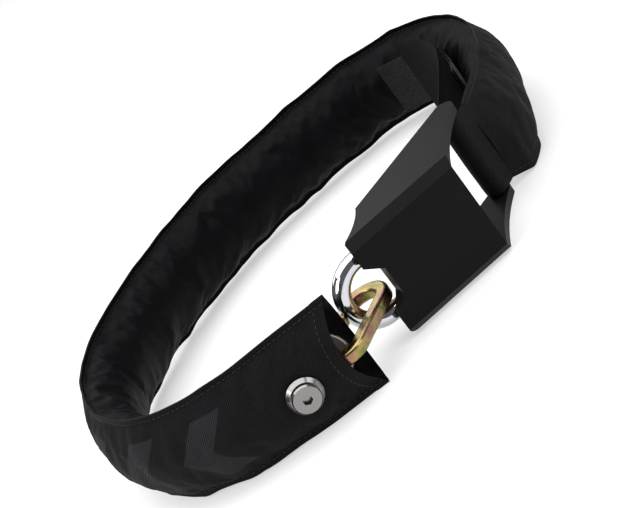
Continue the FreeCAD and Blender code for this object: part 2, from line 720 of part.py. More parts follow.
def build():
    stations = chain_stations()
    flexes = flex_points(stations)
    parts = buckle_parts()
    parts["end_link"] = end_link()
    for name, group in zip(SPAN_NAMES, chain_groups(stations, flexes)):
        parts["chain_" + name] = group
    fittings, hole = button()
    for name, (s0, s1) in zip(SPAN_NAMES, spans(flexes)):
        parts["woven_" + name] = span_panel(1, s0, s1)
        parts["lining_" + name] = span_panel(-1, s0, s1)
    parts["woven_front"] = solid_of(parts["woven_front"].cut(hole))
    parts["lining_front"] = solid_of(parts["lining_front"].cut(hole))
    parts.update(fittings)
    parts["sleeve_end"] = sleeve_end()
    parts["strap"] = strap()
    parts["hook_pad"] = hook_pad()
    parts["loop_pad"] = loop_pad()
    for s in flexes:
        pivot = place(s, CHAIN_N, 0)
        print("flex at s %.2f, pivot %.3f %.3f" % (s, pivot.x, pivot.y))
    return parts


def main():
    os.makedirs("parts", exist_ok=True)
    parts = build()
    for name, shape in sorted(parts.items()):
        shape.exportStep("parts/" + name + ".step")
        box = shape.BoundBox
        corners = (box.XMin, box.XMax, box.YMin, box.YMax, box.ZMin, box.ZMax)
        print("%-20s %2d solids %10.1f mm3" % (name, len(shape.Solids), shape.Volume),
              "x %.1f %.1f  y %.1f %.1f  z %.1f %.1f" % corners)
    print("bar", bar_centre(), "path", PATH_LENGTH, "nodes", len(parts))


main()
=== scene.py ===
"""Looks of the wearable chain lock: fabric sleeve, strap, metals and moulded buckle.

Everything is in metres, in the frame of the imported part. The belt's hem line, from the open mouth
to the buckle's bar, is the spine of every soft piece: s runs along it, n stands outwards from it.
"""

import math

import bpy
import numpy as np
from mathutils import Matrix, Vector, noise


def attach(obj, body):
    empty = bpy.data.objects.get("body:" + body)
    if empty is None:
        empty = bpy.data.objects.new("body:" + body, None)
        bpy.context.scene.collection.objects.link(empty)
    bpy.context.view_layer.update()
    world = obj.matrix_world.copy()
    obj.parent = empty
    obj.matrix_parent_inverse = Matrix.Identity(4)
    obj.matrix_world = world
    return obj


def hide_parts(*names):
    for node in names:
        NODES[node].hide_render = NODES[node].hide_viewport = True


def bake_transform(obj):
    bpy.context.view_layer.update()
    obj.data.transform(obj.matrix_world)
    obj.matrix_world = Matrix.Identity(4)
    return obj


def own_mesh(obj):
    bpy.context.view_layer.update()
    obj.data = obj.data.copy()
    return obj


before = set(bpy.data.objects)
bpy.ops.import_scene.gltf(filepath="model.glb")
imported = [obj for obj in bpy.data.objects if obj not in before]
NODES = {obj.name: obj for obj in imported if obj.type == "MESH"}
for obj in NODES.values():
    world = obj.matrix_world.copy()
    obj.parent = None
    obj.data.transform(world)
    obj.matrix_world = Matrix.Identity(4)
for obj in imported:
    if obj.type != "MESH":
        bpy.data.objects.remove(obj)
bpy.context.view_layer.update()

# ---------------------------------------------------------------- driving dimensions, in metres
MOUTH = (-0.0161, -0.1392)         # hem line at the open mouth
MOUTH_HEADING = math.radians(179.3)
BELT_PATH = [                      # length and clockwise radius of each run; 0 is straight
    (0.056, 0), (0.103, 0.081), (0.107, 0.137), (0.182, 0.221), (0.076, 0.364),
    (0.1047, 0.0713), (0.0362, 0.1013), (0.0546, 0.263), (0.0345, 0.0944), (0.025, 0)]
HEM_STEP = 0.0001
CLOTH = 0.0006                     # one layer of fabric
FLANGE = 0.0036                    # the flat seam that joins the panels along both hems
SEAM_SHARE = 0.05                  # share of a panel's width that each flat seam takes in its grid
BELT_MIDDLE = 0.030                # height of the belt's middle line
MOUTH_FLARE = 0.042
MOUTH_FADE = 0.038                 # how far in from the mouth its curved edge shifts the cloth
SCOOP = 0.011                      # how far the outer lip's edge curves back from the mouth
LIP_REACH = 0.0012                 # how far the inner lip's edge curves out past it
LINK_HOLE = (0.0080, 0.0275, 0.0202, 0.0308)    # buttonhole for the end link: from and to, along and up
STATIONS = (0.0, MOUTH_FLARE, 0.694, 0.712, 0.735, 0.755, 0.768)
BULGE = {1: (0.0088, 0.0102, 0.0102, 0.0104, 0.0080, 0.0050, 0.0018),
         -1: (0.0203, 0.0200, 0.0200, 0.0170, 0.0100, 0.0055, 0.0018)}
HALF_WIDTH = (0.030, 0.030, 0.030, 0.030, 0.030, 0.0298, 0.0265)
MID_HEIGHT = (0.030, 0.030, 0.030, 0.030, 0.0300, 0.0303, 0.0320)
SHIFT = (0.0, 0.0, 0.0, 0.0015, 0.0055, 0.0080, 0.00555)
LEAN = (0.0, 0.0, 0.0, 0.0015, 0.0045, 0.0040, 0.0)     # foot outwards, top inwards
SLEEVE_STOP = 0.768
SPLITS = (0.0, 0.282, 0.464, SLEEVE_STOP)       # the sleeve's three lengths of cloth
BENDS = (0.1765, 0.3887, 0.5395)                # where the belt flexes
BEND_REACH = 0.024
SPANS = (("front", "back_left"), ("back_left", "back_right"), ("back_right", "right"))
LENGTHS = ("left", "back", "right")

SWAY_STARTS = (0.03, 0.09)         # where along the belt the hems' unevenness comes in
SWAY_STOPS = (0.70, 0.75)          # and where it dies away
SWAYS = ((0.0020, 0.055), (0.0008, 0.019),      # size and spread of each wave: outwards,
         (0.0032, 0.033), (0.0006, 0.011),      # the lower hem's lift,
         (0.0022, 0.042), (0.0005, 0.013))      # and the upper hem's drop
LEAST_LIFT = 0.0010
LEAST_DROP = 0.0004

BUTTON_S = 0.0376
BUTTON_Z = 0.0265
BUTTON_HOLD = (0.011, 0.018)       # the cloth is held inside the first radius, free past the second
BUTTON_SEAT = 0.0105               # radius of the cloth pressed flat under the washer
BUTTON_SEAT_DEPTH = 0.0002
BUTTON_RING = 0.0145               # radius, spread and height of the raised ring round it
BUTTON_RING_SPREAD = 0.0035
BUTTON_RING_RISE = 0.0009

BAR_R = 0.004
BAR_GAP = 0.0003                   # between the bar and the strap
STRAP_T = 0.0024
STRAP_W = 0.053
STRAP_LOW = 0.0055
TAIL_START = 0.582
TAIL_END = 0.688
PAD_T = 0.0012
TAIL_N = -0.0228                   # the tail's face towards the lining
LINING_N = -0.0200                 # the lining's face towards the tail
HOOK_ENDS = (0.004, -0.006)        # the tapes' ends, past the tail's own start and end
LOOP_ENDS = (-0.030, -0.004)
HOOK_HALF = 0.016                  # half widths of the tapes
LOOP_HALF = 0.018
TAPE_STEP = 0.002

SIM_STEP = 0.003
SIM_ACROSS = 22
SIM_FRAMES = 22
BENDING = 0.6
PRESSURE = 1.6
MOUTH_HOLD = (0.004, 0.03)         # the cloth is held near the mouth and let go past it
MOUTH_GRIP = 0.9
CLOSED_END = (0.745, 0.764)        # where the sewn-up end takes hold
SEAM_LET_GO = 0.13                 # share of the width at which the seam's hold ends
CRUMPLE_S = 0.165                  # middle and reach of the crumpled stretch
CRUMPLE_REACH = 0.05
RIPPLE = 0.0012
RIPPLE_SIZE = 0.016
MOST_MOVE = 0.0065                 # how far the cloth may leave its starting shape
MOST_INWARDS = {1: 0.0006, -1: 0.0015}

PUCKER_DEPTH = 0.00075
CREASE_DEPTH = {1: 0.00035, -1: 0.0008}
TURNED_EDGE = (0.0072, 0.0082)     # where the mouth's turned edge steps down
TURNED_RISE = 0.0006

STITCH_ROWS = (0.042, 0.958)       # where the seam's stitches run, as shares of the width
MOUTH_STITCHES = 0.0062            # how far in from the mouth its stitches run
STITCH_PITCH = 0.0032
STITCH_LENGTH = 0.0023
THREAD_R = 0.00022
THREAD_LIFT = 0.00005
THREAD_SIDES = 6
STITCH_PROFILE = ((-0.5, 0.25), (-0.36, 0.85), (0.0, 1.0), (0.36, 0.85), (0.5, 0.25))

SPRING_SEATS = {"heel_bolt": 1, "toe_bolt": -1}     # each spring's seat: its top end or its foot

PRINT_START = 0.088
PRINT_END = 0.208
PRINT_PITCH = 0.040
PRINT_FILL = 0.42
PRINT_HALF = 0.019

EDGE_ROUND = 0.0009                # the buckle shells' softened edges
EDGE_SEGMENTS = 3
EDGE_ANGLE = math.radians(32)

CAMERA_ELEVATION = math.radians(22)
CAMERA_ROLL = math.radians(38)
CAMERA_DISTANCE = 1.0
CAMERA_TARGET = (-0.0081, -0.0132, 0.030)
CAMERA_SENSOR = 36                 # sensor and lens in millimetres
CAMERA_LENS = 101.9

FLOOR_REACH = 12.0
FLOOR_DROP = 0.0003
LIGHTS_AIM = (0, 0, 0.03)
LIGHTS = (                         # name, place, width and depth, power
    ("top_soft", (0.0, 0.15, 1.25), (2.2, 1.8), 36),
    ("back_sheen", (-0.5, 1.3, 0.75), (1.6, 0.5), 6),
    ("left_key", (-1.15, -0.65, 0.85), (0.8, 0.7), 11),
    ("right_fill", (1.2, -0.55, 0.55), (0.6, 0.9), 5))


# ---------------------------------------------------------------- the hem line
def hem_line():
    """Arrays of s, x, y and heading along the hem line."""
    curvature = np.concatenate(
        [np.full(round(length / HEM_STEP), 1 / radius if radius else 0.0) for length, radius in BELT_PATH])
    s = np.arange(len(curvature) + 1) * HEM_STEP
    heading = MOUTH_HEADING - np.concatenate([[0], np.cumsum(curvature)]) * HEM_STEP
    middle = (heading[1:] + heading[:-1]) / 2
    x = MOUTH[0] + np.concatenate([[0], np.cumsum(np.cos(middle))]) * HEM_STEP
    y = MOUTH[1] + np.concatenate([[0], np.cumsum(np.sin(middle))]) * HEM_STEP
    return s, x, y, heading


HEM = hem_line()
BELT_LENGTH = HEM[0][-1]


def place(s, n, z):
    """Points at distance s along the hem line, n outwards from it, at height z."""
    s, n, z = np.broadcast_arrays(s, n, z)
    x, y, heading = (np.interp(s, HEM[0], column) for column in HEM[1:])
    return np.stack([x - np.sin(heading) * n, y + np.cos(heading) * n, z], axis=-1)


def direction(s):
    """The hem line's forward and outward directions at s, in plan."""
    heading = np.interp(s, HEM[0], HEM[3])
    forward = np.stack([np.cos(heading), np.sin(heading)], axis=-1)
    outward = np.stack([-np.sin(heading), np.cos(heading)], axis=-1)
    return forward, outward


# ---------------------------------------------------------------- noise and grids
def wander(points, size, seed, octaves=2):
    """Smooth noise from -1 to 1 at each point; size is the width of its features."""
    shape = points.shape[:-1]
    shift = Vector((seed * 7.3, seed * 3.1, seed * 5.7))
    flat = points.reshape(-1, 3) / size
    values = [noise.fractal(Vector(p) + shift, 0.6, 2.0, octaves) for p in flat]
    return np.array(values).reshape(shape)


def wander_line(values, size, seed):
    """Smooth noise along a line."""
    return np.array([noise.noise(Vector((v / size, seed * 3.7, seed * 1.9))) for v in values])


def smooth_step(value, low, high):
    """0 below low, 1 above high, and a smooth rise between them."""
    t = np.clip((value - low) / (high - low), 0, 1)
    return t * t * (3 - 2 * t)


def finer(grid):
    """The grid with a smooth point added between each two, both ways."""
    for axis in (0, 1):
        g = np.moveaxis(grid, axis, 0)
        before = np.concatenate([2 * g[:1] - g[1:2], g[:-2]])
        after = np.concatenate([g[2:], 2 * g[-1:] - g[-2:-1]])
        middle = (9 * (g[:-1] + g[1:]) - before - after) / 16
        made = np.empty((2 * len(g) - 1,) + g.shape[1:])
        made[::2] = g
        made[1::2] = middle
        grid = np.moveaxis(made, 0, axis)
    return grid


def grid_normals(grid, side):
    """Unit normals of a grid whose rows run along the belt; side 1 faces out of the ring."""
    along = np.gradient(grid, axis=0)
    across = np.gradient(grid, axis=1)
    normal = np.cross(across, along) * side
    return normal / np.maximum(np.linalg.norm(normal, axis=-1, keepdims=True), 1e-12)


def quads(rows, columns, start, flip):
    """Vertex numbers of a grid's faces."""
    i, j = np.meshgrid(np.arange(rows - 1), np.arange(columns - 1), indexing="ij")
    a = start + i * columns + j
    faces = np.stack([a, a + columns, a + columns + 1, a + 1], axis=-1).reshape(-1, 4)
    return faces[:, ::-1] if flip else faces


def rim(ids, back, flip):
    """The narrow faces that join a block of grid points to the same block on the shell's back."""
    loop = np.concatenate([ids[:-1, 0], ids[-1, :-1], ids[:0:-1, -1], ids[0, :0:-1]])
    following = np.roll(loop, -1)
    faces = np.stack([loop, loop + back, following + back, following], axis=-1)
    return faces[:, ::-1] if flip else faces


def mesh_object(name, points, faces, cloth=None, corner_normals=None, smooth=True):
    """A mesh object from arrays, with the cloth coordinates that its weave follows."""
    mesh = bpy.data.meshes.new(name)
    mesh.from_pydata(points.reshape(-1, 3).tolist(), [], faces.tolist())
    if smooth:
        mesh.shade_smooth()
    if cloth is not None:
        layer = mesh.attributes.new("cloth", "FLOAT_VECTOR", "POINT")
        layer.data.foreach_set("vector", cloth.astype(np.float32).ravel())
    if corner_normals is not None:
        mesh.normals_split_custom_set(corner_normals.tolist())
    obj = bpy.data.objects.new(name, mesh)
    bpy.context.scene.collection.objects.link(obj)
    return obj


def shell(name, grid, normals, side, thickness, cloth, hole=None):
    """A sheet with thickness, from the grid of its face; hole is a block of rows and columns left out."""
    rows, columns = grid.shape[:2]
    back = grid - normals * np.reshape(thickness, np.shape(thickness) + (1,) * (3 - np.ndim(thickness)))
    points = np.concatenate([grid.reshape(-1, 3), back.reshape(-1, 3)])
    ids = np.arange(rows * columns).reshape(rows, columns)
    front = quads(rows, columns, 0, side > 0)
    edge = rim(ids, rows * columns, side > 0)
    if hole:
        open_rows, open_columns = hole
        inside = np.zeros((rows - 1, columns - 1), bool)
        inside[open_rows.start:open_rows.stop - 1, open_columns.start:open_columns.stop - 1] = True
        front = front[~inside.ravel()]
        edge = np.concatenate([edge, rim(ids[open_rows, open_columns], rows * columns, side < 0)])
    rear = front[:, ::-1] + rows * columns
    flat = normals.reshape(-1, 3)
    a, b, c = (points[edge[:, k]] for k in range(3))
    edge_normal = np.cross(b - a, c - b)
    edge_normal /= np.maximum(np.linalg.norm(edge_normal, axis=1, keepdims=True), 1e-12)
    corner = np.concatenate([flat[front.ravel()], -flat[rear.ravel() - rows * columns],
                             np.repeat(edge_normal, 4, axis=0)])
    both = np.concatenate([cloth.reshape(-1, 3)] * 2)
    return mesh_object(name, points, np.concatenate([front, rear, edge]), both, corner)


def block_inside(s, z, limits):
    """The rows and columns of a grid that bound a rectangle of the cloth."""
    s0, s1, z0, z1 = limits
    middle = s[:, s.shape[1] // 2]
    rows = np.nonzero((middle > s0) & (middle < s1))[0]
    heights = z[rows[len(rows) // 2]]
    columns = np.nonzero((heights > z0) & (heights < z1))[0]
    return slice(rows[0], rows[-1] + 1), slice(columns[0], columns[-1] + 1)


# ---------------------------------------------------------------- sleeve shape
def across_steps(count):
    """Places across a panel, 0 to 1, with the flat seams as the first and last two steps."""
    edge = SEAM_SHARE
    return np.concatenate([[0, edge / 2], np.linspace(edge, 1 - edge, count + 1), [1 - edge / 2, 1]])


def section(s, u, side):
    """How far out and how high a panel's face is, at s and at the share u of its width."""
    bulge, half, middle, shift, lean = (
        np.interp(s, STATIONS, row) for row in (BULGE[side], HALF_WIDTH, MID_HEIGHT, SHIFT, LEAN))
    edge = SEAM_SHARE
    chord = half - FLANGE
    rise = bulge - CLOTH
    sweep = 2 * np.arctan2(rise, chord)
    radius = (chord ** 2 + rise ** 2) / (2 * rise)
    angle = sweep * (2 * np.clip((u - edge) / (1 - 2 * edge), 0, 1) - 1)
    seam = np.clip((u - 1 + edge) / edge, 0, 1) - np.clip((edge - u) / edge, 0, 1)
    n = CLOTH + radius * np.cos(angle) - (radius - rise)
    z = radius * np.sin(angle) + FLANGE * seam
    return shift + side * n - lean * z / half, middle + z


def lip(z, side):
    """Where a panel's edge at the mouth starts, at height z."""
    half = HALF_WIDTH[0]
    if side > 0:
        radius = (half ** 2 + SCOOP ** 2) / (2 * SCOOP)
        return SCOOP - radius + np.sqrt(np.maximum(radius ** 2 - np.clip(z - half, -half, half) ** 2, 0))
    return -LIP_REACH * (1 - ((z - half) / half) ** 2)


def hem_sway(s):
    """The hems' own unevenness: outwards, lower hem's lift, upper hem's drop."""
    calm = smooth_step(s, *SWAY_STARTS) * (1 - smooth_step(s, *SWAY_STOPS))
    out, out_fine, lift, lift_fine, drop, drop_fine = (
        size * wander_line(s, spread, seed) for seed, (size, spread) in enumerate(SWAYS, 1))
    lower = LEAST_LIFT + np.abs(lift) + lift_fine
    upper = LEAST_DROP + np.abs(drop) + drop_fine
    return (out + out_fine) * calm, lower * calm, upper * calm


def panel_grid(side, count_s, count_u):
    """A panel before its folds: its points, and s and u at each."""
    u = across_steps(count_u)[None, :]
    s_line = np.linspace(0, SLEEVE_STOP, count_s)[:, None]
    _, z = section(s_line, u, side)
    start = lip(z, side)
    s = s_line + start * (1 - smooth_step(s_line, 0, MOUTH_FADE))
    n, z = section(s, u, side)
    out, lower, upper = (row.reshape(s.shape) for row in hem_sway(s.ravel()))
    share = (z - BELT_MIDDLE) / HALF_WIDTH[0]
    z = z + lower * np.clip(-share, 0, 1) ** 2 - upper * np.clip(share, 0, 1) ** 2
    return place(s, n + out, z), s, np.broadcast_to(u, s.shape)


def simulate(grids, pins, slack):
    """Lets cloth grids fill out and crease: pinned where pins is 1, cut larger where slack is 1."""
    points = np.concatenate([g.reshape(-1, 3) for g in grids])
    faces = []
    start = 0
    for g, side in zip(grids, (1, -1)):
        faces.append(quads(g.shape[0], g.shape[1], start, side > 0))
        start += g.shape[0] * g.shape[1]
    obj = mesh_object("cloth_work", points, np.concatenate(faces))
    pin_group = obj.vertex_groups.new(name="pin")
    slack_group = obj.vertex_groups.new(name="slack")
    for index, (pin, loose) in enumerate(zip(pins, slack)):
        if pin > 0.01:
            pin_group.add([index], float(pin), "REPLACE")
        slack_group.add([index], float(loose), "REPLACE")
    cloth = obj.modifiers.new("cloth", "CLOTH")
    settings = cloth.settings
    settings.quality = 7
    settings.mass = 0.25
    settings.tension_stiffness = 12
    settings.compression_stiffness = 12
    settings.shear_stiffness = 4
    settings.bending_stiffness = BENDING
    settings.tension_damping = settings.compression_damping = 8
    settings.air_damping = 3
    settings.vertex_group_mass = "pin"
    settings.pin_stiffness = 4
    settings.use_pressure = True
    settings.uniform_pressure_force = PRESSURE
    settings.vertex_group_shrink = "slack"
    settings.shrink_min = -0.010
    settings.shrink_max = -0.085
    settings.effector_weights.gravity = 0
    cloth.collision_settings.use_collision = False
    cloth.collision_settings.use_self_collision = False
    scene = bpy.context.scene
    cloth.point_cache.frame_start = 1
    cloth.point_cache.frame_end = SIM_FRAMES
    for step in range(1, SIM_FRAMES + 1):
        scene.frame_set(step)
    shaped = obj.evaluated_get(bpy.context.evaluated_depsgraph_get()).to_mesh()
    made = np.zeros(len(points) * 3)
    shaped.vertices.foreach_get("co", made)
    bpy.data.objects.remove(obj)
    scene.frame_set(1)
    result = []
    start = 0
    for g in grids:
        size = g.shape[0] * g.shape[1]
        result.append(made.reshape(-1, 3)[start:start + size].reshape(g.shape))
        start += size
    return result


def held_to(grid, base, normals, most, inwards):
    """Limits how far the cloth left its starting shape, and how far inwards it went."""
    moved = grid - base
    size = np.linalg.norm(moved, axis=-1, keepdims=True)
    moved = moved * np.minimum(1, most / np.maximum(size, 1e-9))
    out = (moved * normals).sum(-1, keepdims=True)
    return base + moved + normals * np.maximum(-inwards - out, 0)


def sleeve_grids():
    """The two panels of the sleeve with their folds, as fine grids with s and u."""
    count_s = round(SLEEVE_STOP / SIM_STEP)
    made = {}
    bases = []
    pins = []
    slack = []
    for side in (1, -1):
        base, s, u = panel_grid(side, count_s, SIM_ACROSS)
        normals = grid_normals(base, side)
        seam = 1 - smooth_step(np.minimum(u, 1 - u), SEAM_SHARE, SEAM_LET_GO)
        mouth = (1 - smooth_step(s - lip(base[..., 2], side), *MOUTH_HOLD)) * MOUTH_GRIP
        closed = smooth_step(s, *CLOSED_END)
        button = 1 - smooth_step(np.hypot(s - BUTTON_S, base[..., 2] - BUTTON_Z), *BUTTON_HOLD)
        pins.append(np.maximum.reduce([seam, mouth, closed, button * (side > 0)]).ravel())
        patches = 0.5 + 0.9 * wander(base, 0.05, 11 + side, 2)
        crumple = np.exp(-((s - CRUMPLE_S) / CRUMPLE_REACH) ** 2)
        if side > 0:
            patches = 0.25 * patches + 0.35 * crumple
        slack.append(np.clip(patches + 0.4 * crumple, 0, 1).ravel())
        ripple = RIPPLE * wander(base * np.array([1, 1, 0.45]), RIPPLE_SIZE, 21 + side, 2)
        bases.append((base, normals, s, u))
        made[side] = base + normals * (ripple * (1 - seam))[..., None]
    shaped = simulate([made[1], made[-1]], np.concatenate(pins), np.concatenate(slack))
    made = {1: shaped[0], -1: shaped[1]}
    result = {}
    for side, (base, normals, s, u) in zip((1, -1), bases):
        grid = held_to(made[side], base, normals, MOST_MOVE, MOST_INWARDS[side])
        result[side] = [finer(grid), finer(s[..., None])[..., 0], finer(u[..., None])[..., 0]]
    return result


def details(grid, s, u, side):
    """Small relief on the folded cloth: seam puckers, the mouth's turned edge, the button's dimple."""
    normals = grid_normals(grid, side)
    z = grid[..., 2]
    near_seam = np.minimum(u, 1 - u)
    pucker = np.exp(-((near_seam - 0.085) / 0.05) ** 2) * (near_seam > 0.045)
    wave = wander(np.stack([s, u * 0.02, s * 0], -1), 0.0075, 31 + side, 1)
    relief = PUCKER_DEPTH * pucker * wave
    creases = wander(np.stack([s + (z - BELT_MIDDLE) * 0.5, z * 0.35, s * 0], -1), 0.012, 41 + side, 3)
    body = smooth_step(near_seam, 0.05, 0.16) * smooth_step(s, 0.03, 0.07)
    relief = relief - CREASE_DEPTH[side] * body * np.abs(creases)
    edge = s - lip(z, side)
    relief = relief + TURNED_RISE * (1 - smooth_step(edge, *TURNED_EDGE))
    if side > 0:
        reach = np.hypot(s - BUTTON_S, z - BUTTON_Z)
        relief = relief + BUTTON_RING_RISE * np.exp(-((reach - BUTTON_RING) / BUTTON_RING_SPREAD) ** 2)
        relief = np.where(reach < BUTTON_SEAT, np.minimum(relief, -BUTTON_SEAT_DEPTH), relief)
    return grid + normals * relief[..., None]


def cloth_coordinates(grid, s, side):
    """The weave's own coordinates: along the belt, across the panel by its real length, and side."""
    steps = np.linalg.norm(np.diff(grid, axis=1), axis=-1)
    across = np.concatenate([np.zeros((len(grid), 1)), np.cumsum(steps, axis=1)], axis=1)
    across = across - across[:, across.shape[1] // 2][:, None]
    return np.stack([s, across, np.full_like(s, side * 0.01)], axis=-1)


def bend_ends(s):
    """The start and end points of the cloth's bend at s."""
    centre = place(s, 0.0, BELT_MIDDLE)
    forward = direction(s)[0]
    reach = np.append(forward * BEND_REACH / 2, 0)
    return tuple(centre - reach), tuple(centre + reach)


def stitch_line(points, normals):
    """Vertices and faces of a row of sewn stitches along a line."""
    walked = np.concatenate([[0], np.cumsum(np.linalg.norm(np.diff(points, axis=0), axis=1))])
    count = int(walked[-1] / STITCH_PITCH)
    stations = (np.arange(count) + 0.5) * STITCH_PITCH
    sides = THREAD_SIDES
    verts = []
    faces = []
    for station in stations:
        middle = [np.interp(station, walked, points[:, k]) for k in range(3)]
        ahead = [np.interp(station + 0.001, walked, points[:, k]) for k in range(3)]
        normal = np.array([np.interp(station, walked, normals[:, k]) for k in range(3)])
        along = np.array(ahead) - np.array(middle)
        size = np.linalg.norm(along)
        if size < 1e-9:
            continue
        along /= size
        cross = np.cross(along, normal)
        base = len(verts)
        for share, thick in STITCH_PROFILE:
            dip = 1 - (2 * share) ** 2
            centre = (np.array(middle) + along * share * STITCH_LENGTH
                      + normal * (THREAD_LIFT + THREAD_R * 0.6 * dip))
            for k in range(sides):
                turn = 2 * math.pi * k / sides
                around = cross * math.cos(turn) + normal * math.sin(turn)
                verts.append(centre + around * THREAD_R * thick)
        for r in range(len(STITCH_PROFILE) - 1):
            for k in range(sides):
                a = base + r * sides + k
                b = base + r * sides + (k + 1) % sides
                faces.append((a, b, b + sides, a + sides))
        faces.append(tuple(base + k for k in reversed(range(sides))))
        faces.append(tuple(base + (len(STITCH_PROFILE) - 1) * sides + k for k in range(sides)))
    return verts, faces


def stitches(name, rows):
    """One object with several rows of stitches."""
    verts = []
    faces = []
    for points, normals in rows:
        v, f = stitch_line(points, normals)
        faces += [tuple(i + len(verts) for i in face) for face in f]
        verts += v
    mesh = bpy.data.meshes.new(name)
    mesh.from_pydata([tuple(v) for v in verts], [], faces)
    mesh.shade_smooth()
    obj = bpy.data.objects.new(name, mesh)
    bpy.context.scene.collection.objects.link(obj)
    return obj


def row_at(grid, normals, values, wanted):
    """The line across a grid's columns where values, growing along each row, reach wanted."""
    points = np.array([[np.interp(wanted, v, g[:, k]) for k in range(3)] for g, v in zip(grid, values)])
    facing = np.array([[np.interp(wanted, v, g[:, k]) for k in range(3)] for g, v in zip(normals, values)])
    return points, facing


def build_sleeve(materials):
    """Both panels in three lengths each, and the stitches that join them."""
    grids = sleeve_grids()
    seam_rows = [[], [], []]
    names = {1: "sleeve_woven", -1: "sleeve_lining"}
    stood_for = {
        1: (["woven_front", "woven_back_left"], ["woven_back_right"], ["woven_right", "sleeve_end"]),
        -1: (["lining_front", "lining_back_left"], ["lining_back_right"], ["lining_right"])}
    for side in (1, -1):
        grid, s, u = grids[side]
        grid = details(grid, s, u, side)
        normals = grid_normals(grid, side)
        cloth = cloth_coordinates(grid, s, side)
        middle = s[:, s.shape[1] // 2]
        cuts = [int(np.argmin(np.abs(middle - split))) for split in SPLITS]
        cuts[0] = 0                # the inner lip starts short of 0, so a later row is closest to it
        for index, (a, b) in enumerate(SPANS):
            rows = slice(cuts[index], cuts[index + 1] + 1)
            name = f"{names[side]}_{LENGTHS[index]}"
            hole = block_inside(s, grid[..., 2], LINK_HOLE) if side < 0 and index == 0 else None
            piece = shell(name, grid[rows], normals[rows], side, CLOTH, cloth[rows], hole)
            piece.data.materials.append(materials["woven" if side > 0 else "satin"])
            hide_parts(*stood_for[side][index])
            start, end = bend_ends(BENDS[index])
            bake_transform(piece)
            for wanted in STITCH_ROWS:
                seam_rows[index].append(row_at(grid[rows], normals[rows], u[rows], wanted))
        edge = s - lip(grid[..., 2], side)
        hem = [np.array([[np.interp(MOUTH_STITCHES, edge[:, j], g[:, j, k]) for k in range(3)]
                         for j in range(3, grid.shape[1] - 3)]) for g in (grid, normals)]
        seam_rows[0].append(tuple(hem))
    for index, (a, b) in enumerate(SPANS):
        thread = stitches(f"seam_stitches_{LENGTHS[index]}", seam_rows[index])
        thread.data.materials.append(materials["thread"])
        start, end = bend_ends(BENDS[index])
        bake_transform(thread)


# ---------------------------------------------------------------- strap and its pads
def strap_centreline():
    """The strap's middle line in plan: along the belt, round the bar, and back along the lining."""
    out = BAR_R + BAR_GAP + STRAP_T / 2
    bar = place(BELT_LENGTH, 0.0, 0.0)[:2]
    outward = direction(BELT_LENGTH)[1]
    root = place(TAIL_END, TAIL_N - STRAP_T / 2, 0.0)[:2]
    to_root = root - bar
    swing = math.acos(out / np.linalg.norm(to_root))
    bearing = math.atan2(to_root[1], to_root[0]) + swing
    first = math.atan2(outward[1], outward[0])
    wrap = (first - bearing) % (2 * math.pi)
    turn = [bar + out * np.array([math.cos(first - wrap * t), math.sin(first - wrap * t)])
            for t in np.linspace(0, 1, 28)]
    back = [turn[-1] + (root - turn[-1]) * t for t in np.linspace(0, 1, 24)[1:]]
    tail = [place(s, TAIL_N - STRAP_T / 2, 0.0)[:2]
            for s in np.arange(TAIL_END - TAPE_STEP, TAIL_START, -TAPE_STEP)]
    lead = [place(s, out, 0.0)[:2]
            for s in np.arange(SLEEVE_STOP - 0.004, BELT_LENGTH - 0.0005, 0.001)]
    return np.array(lead + turn + back + tail)


def even_line(points, step):
    """A plan line's points set out evenly, and how far along it each one is."""
    walked = np.concatenate([[0], np.cumsum(np.linalg.norm(np.diff(points, axis=0), axis=1))])
    stations = np.linspace(0, walked[-1], max(2, round(walked[-1] / step)))
    return np.stack([np.interp(stations, walked, points[:, k]) for k in range(2)], axis=-1), stations


def ribbon(name, line, low, high, thickness, sway, seed, across=26, step=0.0012):
    """A woven strip that stands on edge along a plan line, with rounded edges and a little wave."""
    points, walked = even_line(line, step)
    for _ in range(3):
        points[1:-1] = (points[:-2] + 2 * points[1:-1] + points[2:]) / 4
    tangent = np.gradient(points, axis=0)
    tangent /= np.linalg.norm(tangent, axis=1, keepdims=True)
    facing = np.stack([-tangent[:, 1], tangent[:, 0]], axis=-1)
    share = np.sin(np.linspace(-math.pi / 2, math.pi / 2, across + 1))
    z = (low + high) / 2 + share * (high - low) / 2
    thick = thickness * (1 - 0.75 * np.abs(share) ** 14)
    spots = np.stack(np.broadcast_arrays(walked[:, None], z[None, :] * 0.6, 0.0), -1)
    wave = sway * wander(spots, 0.02, seed)
    offset = thick[None, :] / 2 + wave
    grid = np.empty((len(points), len(z), 3))
    grid[..., :2] = points[:, None, :] + facing[:, None, :] * offset[..., None]
    grid[..., 2] = z[None, :]
    normals = grid_normals(grid, 1)
    cloth = np.stack(np.broadcast_arrays(1 + walked[:, None], z[None, :], seed * 0.01), axis=-1)
    return shell(name, grid, normals, 1, np.broadcast_to(thick[None, :], grid.shape[:2]), cloth)


